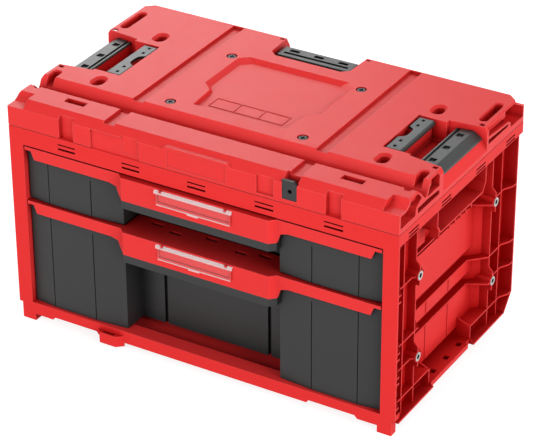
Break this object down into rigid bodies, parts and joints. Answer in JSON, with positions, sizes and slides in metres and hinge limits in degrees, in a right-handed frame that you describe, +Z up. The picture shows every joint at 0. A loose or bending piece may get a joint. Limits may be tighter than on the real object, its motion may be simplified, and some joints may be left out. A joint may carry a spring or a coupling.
{
  "type": "portable tool box with drawers",
  "caption": "Moulded tool box with a shallow drawer over a deep one on telescopic rails, hand grips in ribbed sides and a stacking deck with catch plates.",
  "frame": {"origin": "on the ground under the middle of the box's bounding box", "axes": "+X to the right along the width, the longest side; +Y to the back, drawers open toward -Y; +Z up"},
  "size_m": [0.576, 0.3559, 0.333],
  "materials": {
    "red_plastic": "satin moulded plastic",
    "dark_plastic": "finely textured moulded plastic",
    "grey_plastic": "satin moulded plastic",
    "zinc_steel": "zinc plated sheet",
    "dark_screw": "black oxide",
    "clear_plastic": "clear moulded plastic"
  },
  "bodies": {
    "cabinet": {"housing": "red_plastic", "top_cover": "red_plastic", "cover_screws": "dark_screw", "left_inner_catch": "grey_plastic", "right_inner_catch": "grey_plastic", "left_outer_catch": "grey_plastic", "right_outer_catch": "grey_plastic", "rear_catch": "grey_plastic", "left_rail_rivets": "zinc_steel", "right_rail_rivets": "zinc_steel", "upper_left_outer_rail": "zinc_steel", "upper_right_outer_rail": "zinc_steel", "lower_left_outer_rail": "zinc_steel", "lower_right_outer_rail": "zinc_steel"},
    "lock_plate": {"lock_plate": "dark_plastic"},
    "upper_drawer": {"upper_tray": "dark_plastic", "upper_bezel": "red_plastic", "upper_left_inner_rail": "zinc_steel", "upper_right_inner_rail": "zinc_steel", "upper_front_screws": "dark_screw", "upper_rail_screws": "dark_screw"},
    "upper_left_middle_rail": {"upper_left_middle_rail": "zinc_steel"},
    "upper_right_middle_rail": {"upper_right_middle_rail": "zinc_steel"},
    "upper_label_cover": {"upper_label_cover": "clear_plastic"},
    "lower_drawer": {"lower_tray": "dark_plastic", "lower_bezel": "red_plastic", "lower_left_inner_rail": "zinc_steel", "lower_right_inner_rail": "zinc_steel", "lower_front_screws": "dark_screw", "lower_rail_screws": "dark_screw"},
    "lower_left_middle_rail": {"lower_left_middle_rail": "zinc_steel"},
    "lower_right_middle_rail": {"lower_right_middle_rail": "zinc_steel"},
    "lower_label_cover": {"lower_label_cover": "clear_plastic"}
  },
  "joints": [
    {"name": "lock_plate_slide", "type": "slide", "parent": "cabinet", "child": "lock_plate", "axis": [0, 0, 1], "range_m": [0, 0.008]},
    {"name": "upper_drawer_slide", "type": "slide", "parent": "cabinet", "child": "upper_drawer", "axis": [0, -1, 0], "range_m": [0, 0.27]},
    {"name": "upper_left_middle_slide", "type": "slide", "parent": "cabinet", "child": "upper_left_middle_rail", "axis": [0, -1, 0], "range_m": [0, 0.135]},
    {"name": "upper_right_middle_slide", "type": "slide", "parent": "cabinet", "child": "upper_right_middle_rail", "axis": [0, -1, 0], "range_m": [0, 0.135]},
    {"name": "upper_label_hinge", "type": "hinge", "parent": "upper_drawer", "child": "upper_label_cover", "pos_m": [0, -0.1762, 0.2648], "axis": [-1, 0, 0], "range_deg": [0, 75]},
    {"name": "lower_drawer_slide", "type": "slide", "parent": "cabinet", "child": "lower_drawer", "axis": [0, -1, 0], "range_m": [0, 0.27]},
    {"name": "lower_left_middle_slide", "type": "slide", "parent": "cabinet", "child": "lower_left_middle_rail", "axis": [0, -1, 0], "range_m": [0, 0.135]},
    {"name": "lower_right_middle_slide", "type": "slide", "parent": "cabinet", "child": "lower_right_middle_rail", "axis": [0, -1, 0], "range_m": [0, 0.135]},
    {"name": "lower_label_hinge", "type": "hinge", "parent": "lower_drawer", "child": "lower_label_cover", "pos_m": [0, -0.1762, 0.1841], "axis": [-1, 0, 0], "range_deg": [0, 75]}
  ],
  "couplings": [
    {"joint": "upper_left_middle_slide", "follows": "upper_drawer_slide", "ratio": 0.5},
    {"joint": "upper_right_middle_slide", "follows": "upper_drawer_slide", "ratio": 0.5},
    {"joint": "lower_left_middle_slide", "follows": "lower_drawer_slide", "ratio": 0.5},
    {"joint": "lower_right_middle_slide", "follows": "lower_drawer_slide", "ratio": 0.5}
  ]
}
